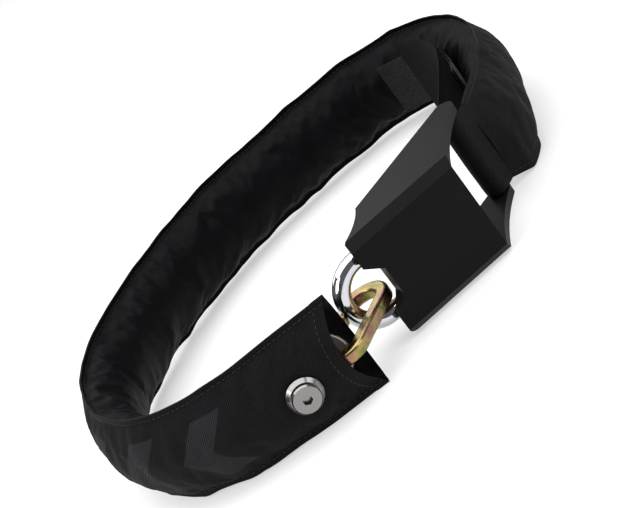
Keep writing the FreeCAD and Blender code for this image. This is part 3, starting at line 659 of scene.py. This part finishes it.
def build_strap(materials):
    """The strap, the hook tape on its tail and the loop tape on the lining."""
    line = strap_centreline()
    strap = ribbon("strap_webbing", line, STRAP_LOW, STRAP_LOW + STRAP_W, STRAP_T, 0.0003, 51)
    strap.data.materials.append(materials["woven"])
    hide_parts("strap")
    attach(strap, "right")
    pads = (("hook_tape", "hook_pad", TAIL_N + PAD_T / 2, HOOK_ENDS, HOOK_HALF, strap),
            ("loop_tape", "loop_pad", LINING_N - PAD_T / 2, LOOP_ENDS, LOOP_HALF, "lining_right"))
    for name, node, n, (ahead, behind), half, rests in pads:
        stations = np.arange(TAIL_START + ahead, TAIL_END + behind, TAPE_STEP)
        path = place(stations, n, 0.0)[:, :2]
        pad = ribbon(name, path, BELT_MIDDLE - half, BELT_MIDDLE + half, PAD_T, 0.00025, 61)
        pad.data.materials.append(materials["pile"])
        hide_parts(node)
        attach(pad, "right")


# ---------------------------------------------------------------- materials
class Nodes:
    """A short way to write a material's node tree."""

    def __init__(self, name):
        self.material = bpy.data.materials.new(name)
        self.material.use_nodes = True
        self.tree = self.material.node_tree
        self.shader = self.tree.nodes["Principled BSDF"]

    def add(self, kind, **inputs):
        node = self.tree.nodes.new(kind)
        for key, value in inputs.items():
            if hasattr(node, key) and key not in node.inputs:
                setattr(node, key, value)
            else:
                self.feed(node, key, value)
        return node

    def feed(self, node, key, value):
        """Links or sets an input, by its name or, as i0, i1 and so on, by its place."""
        socket = node.inputs[int(key[1:])] if key[0] == "i" and key[1:].isdigit() else node.inputs[key]
        if isinstance(value, bpy.types.NodeSocket):
            self.tree.links.new(value, socket)
        else:
            socket.default_value = value

    def math(self, operation, a, b=0.0):
        return self.add("ShaderNodeMath", operation=operation, i0=a, i1=b).outputs[0]

    def ramp(self, value, *stops):
        """A colour for the value, from stops of position and colour."""
        node = self.tree.nodes.new("ShaderNodeValToRGB")
        elements = node.color_ramp.elements
        for index, (position, colour) in enumerate(stops):
            element = elements[index] if index < 2 else elements.new(position)
            element.position = position
            element.color = (*colour, 1) if isinstance(colour, tuple) else (colour, colour, colour, 1)
        self.tree.links.new(value, node.inputs[0])
        return node.outputs[0]

    def noise(self, vector, scale, detail=2.0, roughness=0.5):
        return self.add("ShaderNodeTexNoise", Vector=vector, Scale=scale, Detail=detail,
                        Roughness=roughness).outputs[0]

    def cloth(self):
        """The weave's coordinates, and their parts along and across the belt."""
        node = self.add("ShaderNodeAttribute", attribute_name="cloth")
        parts = self.add("ShaderNodeSeparateXYZ", Vector=node.outputs["Vector"])
        return node.outputs["Vector"], parts.outputs[0], parts.outputs[1]

    def place(self):
        return self.add("ShaderNodeTexCoord").outputs["Object"]

    def bump(self, height, strength, distance):
        return self.add("ShaderNodeBump", Strength=strength, Distance=distance, Height=height).outputs[0]

    def surface(self, **inputs):
        """Sets the shader's inputs, with _ for a space in their names, and gives the material."""
        for key, value in inputs.items():
            self.feed(self.shader, key.replace("_", " "), value)
        return self.material


def scaled(k, value, period):
    """The value as an angle that turns once in each period."""
    return k.math("MULTIPLY", value, 2 * math.pi / period)


def weave_height(k, along, across, pitch):
    """Over-and-under threads: each thread a rounded rib, the two ways taking turns on top."""
    a = scaled(k, along, pitch)
    b = scaled(k, across, pitch)
    warp = k.math("MULTIPLY", k.math("SINE", a), k.math("SINE", b))
    rib = k.math("ABSOLUTE", k.math("SINE", k.math("MULTIPLY", k.math("ADD", a, b), 0.5)))
    return k.math("ADD", k.math("MULTIPLY", warp, 0.35), k.math("MULTIPLY", rib, 0.65))


def printed_bars(k, along, across):
    """A row of slanted bars printed on the outer face: 1 inside a bar."""
    slant = k.math("ADD", along, k.math("MULTIPLY", k.math("ABSOLUTE", across), 0.75))
    phase = k.math("FRACT", k.math("DIVIDE", k.math("SUBTRACT", slant, PRINT_START), PRINT_PITCH))
    bar = k.math("LESS_THAN", phase, PRINT_FILL)
    inside = k.math("MULTIPLY", k.math("GREATER_THAN", slant, PRINT_START),
                    k.math("LESS_THAN", slant, PRINT_END))
    band = k.math("LESS_THAN", k.math("ABSOLUTE", across), PRINT_HALF)
    return k.math("MULTIPLY", k.math("MULTIPLY", bar, inside), band)


def woven_cloth():
    """Black plain-woven nylon with a faint sheen, dust in the weave and the printed bars."""
    k = Nodes("woven_cloth")
    vector, along, across = k.cloth()
    wobble = k.math("MULTIPLY", k.math("SUBTRACT", k.noise(vector, 160, 2), 0.5), 0.0007)
    height = weave_height(k, k.math("ADD", along, wobble), k.math("ADD", across, wobble), 0.00125)
    wear = k.noise(vector, 38, 4, 0.6)
    shade = k.math("MULTIPLY", k.math("ADD", height, 0.25), k.math("ADD", wear, 0.55))
    colour = k.ramp(shade, (0.15, (0.0006, 0.0006, 0.0008)), (0.95, (0.0120, 0.0120, 0.0132)))
    bars = printed_bars(k, along, across)
    ink = k.ramp(shade, (0.1, (0.006, 0.006, 0.0065)), (0.9, (0.026, 0.026, 0.028)))
    mixed = k.add("ShaderNodeMix", data_type="RGBA", i0=bars, i6=colour, i7=ink).outputs[2]
    soft = k.noise(vector, 260, 3)
    total = k.math("ADD", height, k.math("MULTIPLY", soft, 0.6))
    rough = k.math("SUBTRACT", 0.80, k.math("MULTIPLY", height, 0.22))
    return k.surface(Base_Color=mixed, Roughness=rough, Normal=k.bump(total, 0.75, 0.00028),
                     **{"Specular IOR Level": 0.06, "Sheen Weight": 0.012, "Sheen Roughness": 0.45})


def satin_cloth():
    """Black satin lining: tight fine threads, smoother and softer than the outer cloth."""
    k = Nodes("satin_cloth")
    vector, along, across = k.cloth()
    fine = weave_height(k, along, across, 0.00062)
    cloudy = k.noise(vector, 55, 4, 0.6)
    shade = k.math("ADD", k.math("MULTIPLY", cloudy, 0.8), k.math("MULTIPLY", fine, 0.25))
    colour = k.ramp(shade, (0.2, (0.0008, 0.0008, 0.0011)), (0.95, (0.0040, 0.0040, 0.0052)))
    crease = k.add("ShaderNodeTexNoise", Vector=vector, Scale=95.0, Detail=4.0, Roughness=0.6,
                   Distortion=0.8)
    relief = k.math("ADD", k.math("MULTIPLY", fine, 0.12), crease.outputs[0])
    rough = k.math("ADD", 0.42, k.math("MULTIPLY", cloudy, 0.2))
    return k.surface(Base_Color=colour, Roughness=rough, Normal=k.bump(relief, 0.35, 0.0010),
                     **{"Specular IOR Level": 0.05, "Sheen Weight": 0.004, "Sheen Roughness": 0.35})


def pile_cloth():
    """Hook and loop tape: a dense short pile."""
    k = Nodes("pile_cloth")
    vector, _, _ = k.cloth()
    tufts = k.add("ShaderNodeTexVoronoi", Vector=vector, Scale=900.0).outputs[0]
    fuzz = k.noise(vector, 1500, 3)
    height = k.math("ADD", tufts, k.math("MULTIPLY", fuzz, 0.7))
    colour = k.ramp(height, (0.1, (0.018, 0.018, 0.019)), (1.0, (0.003, 0.003, 0.003)))
    return k.surface(Base_Color=colour, Roughness=0.9, Normal=k.bump(height, 1.0, 0.0004),
                     **{"Specular IOR Level": 0.2, "Sheen Weight": 0.15})


def thread():
    """Twisted black sewing thread."""
    k = Nodes("thread")
    twist = k.noise(k.place(), 2600, 1)
    colour = k.ramp(twist, (0.2, (0.006, 0.006, 0.007)), (0.8, (0.030, 0.030, 0.033)))
    return k.surface(Base_Color=colour, Roughness=0.55, Normal=k.bump(twist, 0.4, 0.0001),
                     **{"Specular IOR Level": 0.35})


def moulded_plastic():
    """Black moulded nylon with a fine spark-eroded texture, and a painted highlight that makes its colour
    lighter on its convex edges.
    """
    k = Nodes("moulded_plastic")
    place_on = k.place()
    grain = k.noise(place_on, 1900, 3, 0.6)
    flow = k.noise(place_on, 26, 3, 0.5)
    # Painted edge highlight: pointiness makes the colour lighter on convex edges, as if they caught the
    # light.
    edge = k.math("SUBTRACT", k.add("ShaderNodeNewGeometry").outputs["Pointiness"], 0.5)
    edge_highlight = k.math("MULTIPLY", k.math("MAXIMUM", edge, 0.0), 2.2)
    shade = k.math("ADD", k.math("MULTIPLY", flow, 0.5), edge_highlight)
    colour = k.ramp(shade, (0.1, (0.0026, 0.0025, 0.0031)), (0.8, (0.0062, 0.0060, 0.0072)))
    rough = k.math("ADD", 0.46, k.math("MULTIPLY", k.math("SUBTRACT", grain, 0.5), 0.25))
    return k.surface(Base_Color=colour, Roughness=rough, Normal=k.bump(grain, 0.35, 0.00012),
                     **{"Specular IOR Level": 0.085})


def polished(name, base, low, high, scratch):
    """Plated metal: faint handling scratches and cloudy gloss."""
    k = Nodes(name)
    place_on = k.place()
    smear = k.noise(place_on, 55, 4, 0.6)
    lines = k.add("ShaderNodeTexNoise", Vector=k.add(
        "ShaderNodeMapping", Vector=place_on, Scale=(900.0, 60.0, 900.0)).outputs[0], Scale=1.0, Detail=3.0)
    tint = k.ramp(smear, (0.3, tuple(c * 0.93 for c in base)), (0.7, base))
    rough = k.math("ADD", low, k.math("MULTIPLY", smear, high - low))
    return k.surface(Base_Color=tint, Metallic=1.0, Roughness=rough,
                     Normal=k.bump(lines.outputs[0], scratch, 0.00002))


def passivated_zinc():
    """Zinc plating with its yellow, green and pink bloom."""
    k = Nodes("passivated_zinc")
    place_on = k.place()
    stretched = k.add("ShaderNodeMapping", Vector=place_on, Scale=(1.0, 1.0, 1.6)).outputs[0]
    bloom = k.add("ShaderNodeTexNoise", Vector=stretched, Scale=85.0, Detail=3.0, Roughness=0.55,
                  Distortion=1.2).outputs[0]
    colour = k.ramp(bloom, (0.28, (0.12, 0.17, 0.05)), (0.42, (0.26, 0.22, 0.07)),
                    (0.52, (0.34, 0.25, 0.11)), (0.62, (0.34, 0.15, 0.12)), (0.74, (0.14, 0.17, 0.10)))
    pits = k.noise(place_on, 900, 3)
    smear = k.noise(place_on, 120, 3)
    rough = k.math("ADD", 0.17, k.math("MULTIPLY", smear, 0.2))
    return k.surface(Base_Color=colour, Metallic=1.0, Roughness=rough, Normal=k.bump(pits, 0.12, 0.00008))


def machined(name, base, roughness):
    """Turned or milled metal with fine tool marks."""
    k = Nodes(name)
    place_on = k.place()
    marks = k.noise(place_on, 700, 4, 0.7)
    stain = k.noise(place_on, 90, 3)
    tint = k.ramp(stain, (0.3, tuple(c * 0.82 for c in base)), (0.75, base))
    rough = k.math("ADD", roughness, k.math("MULTIPLY", marks, 0.18))
    return k.surface(Base_Color=tint, Metallic=1.0, Roughness=rough, Normal=k.bump(marks, 0.15, 0.00005))


def make_materials():
    """Every material of the lock, by its short name."""
    return {"woven": woven_cloth(), "satin": satin_cloth(),
            "pile": pile_cloth(), "thread": thread(), "plastic": moulded_plastic(),
            "chrome": polished("chrome", (0.60, 0.61, 0.64), 0.05, 0.12, 0.08),
            "zinc": passivated_zinc(), "chain": polished("chain_zinc", (0.22, 0.20, 0.18), 0.24, 0.42, 0.3),
            "nickel": polished("nickel", (0.25, 0.24, 0.235), 0.16, 0.28, 0.15),
            "steel": machined("steel", (0.50, 0.50, 0.52), 0.25),
            "brass": machined("brass", (0.72, 0.56, 0.28), 0.22)}


FINISHES = {
    "plastic": ("buckle_front_shell", "buckle_rear_shell"),
    "chrome": ("shackle",),
    "nickel": ("button_screw", "button_washer", "button_nut", "button_back_washer"),
    "zinc": ("end_link",),
    "chain": ("chain_front", "chain_back_left", "chain_back_right", "chain_right"),
    "steel": ("lock_body", "strap_bar", "shell_screws", "heel_bolt", "toe_bolt", "cam_spindle",
              "heel_bolt_spring", "toe_bolt_spring", "plug_clip"),
    "brass": ("cylinder_housing", "key_plug", "key_discs", "disc_spacers", "side_bar")}


def finish_hardware(materials):
    """Gives each CAD piece that stays its material."""
    for finish, nodes in FINISHES.items():
        for node in nodes:
            mesh = NODES[node].data
            mesh.materials.clear()
            mesh.materials.append(materials[finish])
    for node in FINISHES["plastic"]:
        bevel = NODES[node].modifiers.new("soft_edges", "BEVEL")
        bevel.width = EDGE_ROUND
        bevel.segments = EDGE_SEGMENTS
        bevel.limit_method = "ANGLE"
        bevel.angle_limit = EDGE_ANGLE


def seat_springs():
    """Gives each bolt's spring a coil of its own: a copy of its mesh, carried by the buckle, with the
    original part hidden.
    """
    for bolt, side in SPRING_SEATS.items():
        node = bolt + "_spring"
        coil = bpy.data.objects.new(bolt + "_coil", NODES[node].data.copy())
        bpy.context.scene.collection.objects.link(coil)
        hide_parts(node)
        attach(coil, "buckle")
        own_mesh(coil)


# ---------------------------------------------------------------- stage
def area_light(name, location, target, size, power):
    """A soft rectangular light that faces its target."""
    data = bpy.data.lights.new(name, "AREA")
    data.shape = "RECTANGLE"
    data.size, data.size_y = size
    data.energy = power
    light = bpy.data.objects.new(name, data)
    light.location = location
    light.rotation_euler = (Vector(target) - Vector(location)).to_track_quat("-Z", "Y").to_euler()
    bpy.context.scene.collection.objects.link(light)


def build_stage():
    """Pale floor, soft lights and a bright, plain surround."""
    corners = np.array([[-1, -1, 0], [1, -1, 0], [1, 1, 0], [-1, 1, 0]]) * FLOOR_REACH
    floor = mesh_object("floor", corners, np.array([[0, 1, 2, 3]]), smooth=False)
    floor.location.z = -FLOOR_DROP
    k = Nodes("floor")
    mottle = k.noise(k.place(), 3.0, 2)
    colour = k.ramp(mottle, (0.2, (0.46, 0.46, 0.46)), (0.8, (0.48, 0.48, 0.48)))
    floor.data.materials.append(k.surface(
        Base_Color=colour, Roughness=0.9,
        **{"Specular IOR Level": 0.1, "Emission Color": (1, 1, 1, 1), "Emission Strength": 0.5}))
    world = bpy.data.worlds.new("surround")
    world.use_nodes = True
    tree = world.node_tree
    tree.nodes.clear()
    rays = tree.nodes.new("ShaderNodeLightPath")
    seen = tree.nodes.new("ShaderNodeBackground")
    seen.inputs[0].default_value = (1, 1, 1, 1)
    seen.inputs[1].default_value = 1.0
    lit = tree.nodes.new("ShaderNodeBackground")
    lit.inputs[0].default_value = (0.92, 0.95, 1.0, 1)
    lit.inputs[1].default_value = 0.16
    mix = tree.nodes.new("ShaderNodeMixShader")
    out = tree.nodes.new("ShaderNodeOutputWorld")
    tree.links.new(rays.outputs["Is Camera Ray"], mix.inputs[0])
    tree.links.new(lit.outputs[0], mix.inputs[1])
    tree.links.new(seen.outputs[0], mix.inputs[2])
    tree.links.new(mix.outputs[0], out.inputs[0])
    bpy.context.scene.world = world
    for name, location, spread, power in LIGHTS:
        area_light(name, location, LIGHTS_AIM, spread, power)
    bpy.context.scene.view_settings.view_transform = "Standard"


def build_camera():
    """The camera looks along +Y from above, turned so that the belt's +X climbs to the right."""
    back = Vector((0, -math.cos(CAMERA_ELEVATION), math.sin(CAMERA_ELEVATION)))
    level_up = Vector((0, math.sin(CAMERA_ELEVATION), math.cos(CAMERA_ELEVATION)))
    right = Vector((1, 0, 0)) * math.cos(CAMERA_ROLL) - level_up * math.sin(CAMERA_ROLL)
    up = Vector((1, 0, 0)) * math.sin(CAMERA_ROLL) + level_up * math.cos(CAMERA_ROLL)
    turn = Matrix((right, up, back)).transposed()
    data = bpy.data.cameras.new("camera")
    data.sensor_width = CAMERA_SENSOR
    data.lens = CAMERA_LENS
    data.clip_start = 0.05
    data.clip_end = 60
    camera = bpy.data.objects.new("camera", data)
    place_at = Vector(CAMERA_TARGET) + back * CAMERA_DISTANCE
    camera.matrix_world = Matrix.Translation(place_at) @ turn.to_4x4()
    bpy.context.scene.collection.objects.link(camera)
    bpy.context.scene.camera = camera


# ---------------------------------------------------------------- the whole scene
MATERIALS = make_materials()
finish_hardware(MATERIALS)
seat_springs()
build_sleeve(MATERIALS)
build_strap(MATERIALS)
build_stage()
build_camera()
